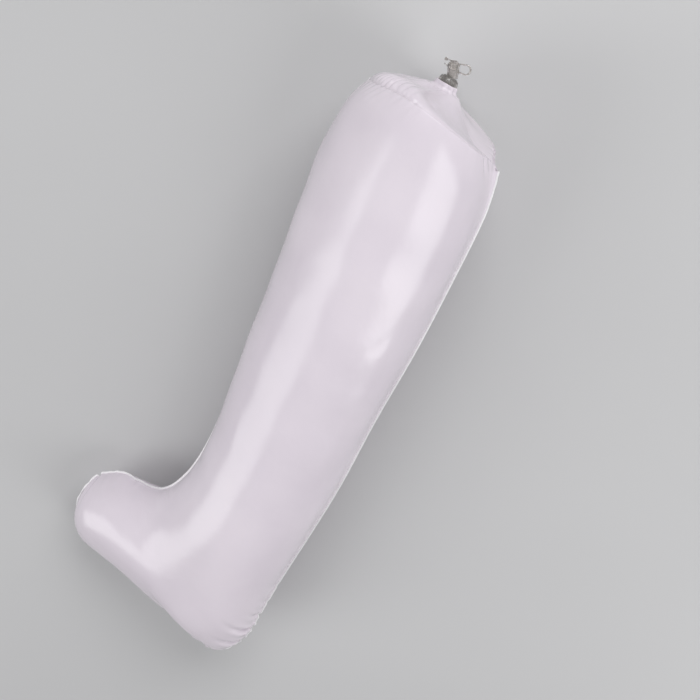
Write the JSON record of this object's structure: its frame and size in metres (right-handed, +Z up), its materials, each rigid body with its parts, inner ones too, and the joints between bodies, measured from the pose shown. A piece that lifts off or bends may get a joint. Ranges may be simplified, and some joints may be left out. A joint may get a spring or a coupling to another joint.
{
  "type": "boot shaper",
  "caption": "Boot-shaped inflatable bladder of white film that fills a boot's shaft and foot, with a clear push-in valve at its domed top.",
  "frame": {"origin": "middle of the bounding box's bottom face, on the surface the blown-up shaper lies on", "axes": "+Z up; +Y up the leg towards the valve; toe towards -X, so the left side panel faces up"},
  "size_m": [0.2194, 0.51, 0.1323],
  "materials": {
    "white_film": "glossy soft PVC film, welded at its edges",
    "clear_vinyl": "clear soft moulded PVC, slightly hazy",
    "clear_plug": "clear soft moulded PVC, slightly warm"
  },
  "bodies": {
    "bladder": {"left_panel": "white_film", "right_panel": "white_film", "top_panel": "white_film", "valve_base": "clear_vinyl", "valve_diaphragm": "clear_vinyl"},
    "stem": {"valve_stem": "clear_vinyl", "plug_strap": "clear_plug"},
    "plug": {"valve_plug": "clear_plug"},
    "flap": {"check_flap": "clear_vinyl"}
  },
  "joints": [
    {"name": "stem_push", "type": "slide", "parent": "bladder", "child": "stem", "axis": [-0.1321, -0.9899, -0.0519], "range_m": [0, 0.0055], "deforming": ["valve_diaphragm"]},
    {"name": "plug_open", "type": "hinge", "parent": "stem", "child": "plug", "pos_m": [0.05836, 0.25203, 0.06859], "axis": [0.177, 0.0279, -0.9838], "range_deg": [0, 110], "deforming": ["plug_strap"]},
    {"name": "flap_open", "type": "hinge", "parent": "stem", "child": "flap", "pos_m": [0.05508, 0.24088, 0.06769], "axis": [-0.177, -0.0279, 0.9838], "range_deg": [0, 60], "stiffness_Nm_per_rad": 0.000002}
  ]
}
